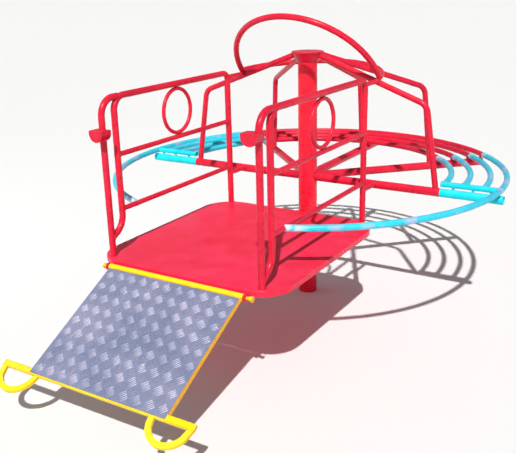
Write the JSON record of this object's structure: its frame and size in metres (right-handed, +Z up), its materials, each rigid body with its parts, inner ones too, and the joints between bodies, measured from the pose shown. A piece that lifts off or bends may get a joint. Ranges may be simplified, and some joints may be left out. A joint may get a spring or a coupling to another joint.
{
  "type": "wheelchair roundabout",
  "caption": "Playground merry-go-round with a wheelchair bay, folding tread-plate ramp, bent-tube seat ring and hand hoop, turning on a post set in the ground.",
  "frame": {"origin": "on the ground post's axis at ground level", "axes": "+Z up along the post; -Y towards the ramp, so the longest side lies along Y; +X to the right of someone looking from the ramp to the post"},
  "size_m": [2.38, 3.2559, 1.7431],
  "materials": {
    "red_paint": "glossy enamel",
    "deck_paint": "semi-gloss enamel on sheet",
    "cyan_paint": "glossy enamel",
    "yellow_paint": "glossy enamel",
    "tread_plate": "mill finish, raised bars",
    "machined_steel": "machined, greased",
    "zinc_steel": "zinc plated",
    "seal_rubber": "matte"
  },
  "bodies": {
    "base": {"ground_post": "red_paint", "spindle": "machined_steel", "spindle_spacer": "machined_steel", "spindle_washer": "zinc_steel", "spindle_nut": "zinc_steel", "bearing_inner_races": "machined_steel", "bearing_balls": "machined_steel"},
    "rotor": {"bearing_outer_races": "machined_steel", "bearing_seats": "machined_steel", "deck_beams": "red_paint", "deck_cross_members": "red_paint", "deck_plate": "deck_paint", "dust_seal": "seal_rubber", "front_post_left": "red_paint", "front_post_right": "red_paint", "guard_ring_back": "red_paint", "guard_ring_left": "cyan_paint", "guard_ring_right": "cyan_paint", "hand_hoop": "red_paint", "hanger_back": "red_paint", "hanger_back_left": "red_paint", "hanger_back_right": "red_paint", "hanger_left": "red_paint", "hanger_right": "red_paint", "hinge_lugs": "red_paint", "hinge_pin": "yellow_paint", "hinge_pin_knob": "yellow_paint", "hoop_back_arc": "red_paint", "hub_cap": "red_paint", "hub_cap_bolts": "red_paint", "hub_collar": "red_paint", "low_links": "red_paint", "low_rails": "red_paint", "main_rail_left": "red_paint", "main_rail_right": "red_paint", "middle_rails": "red_paint", "rail_ring_left": "red_paint", "rail_ring_right": "red_paint", "ramp_catches": "red_paint", "seat_end_arms": "cyan_paint", "seat_end_bars": "cyan_paint", "seat_end_risers": "cyan_paint", "seat_risers": "red_paint", "seat_tubes_back": "red_paint", "seat_tubes_left": "cyan_paint", "seat_tubes_right": "cyan_paint", "sleeve": "red_paint", "spoke_back": "red_paint", "spoke_back_left": "red_paint", "spoke_back_right": "red_paint", "spoke_left": "red_paint", "spoke_right": "red_paint", "top_links": "red_paint"},
    "ramp": {"ramp_foot_bar": "yellow_paint", "ramp_handle_left": "yellow_paint", "ramp_handle_right": "yellow_paint", "ramp_hinge_barrel": "yellow_paint", "ramp_side_bars": "yellow_paint", "ramp_stiffeners": "yellow_paint", "ramp_tread_plate": "tread_plate"}
  },
  "joints": [
    {"name": "rotor_spin", "type": "hinge", "parent": "base", "child": "rotor", "pos_m": [0, 0, 0.6], "axis": [0, 0, 1], "continuous": true},
    {"name": "ramp_hinge", "type": "hinge", "parent": "rotor", "child": "ramp", "pos_m": [0, -1.373, 0.377], "axis": [-1, 0, 0], "range_deg": [0, 118.3]}
  ]
}
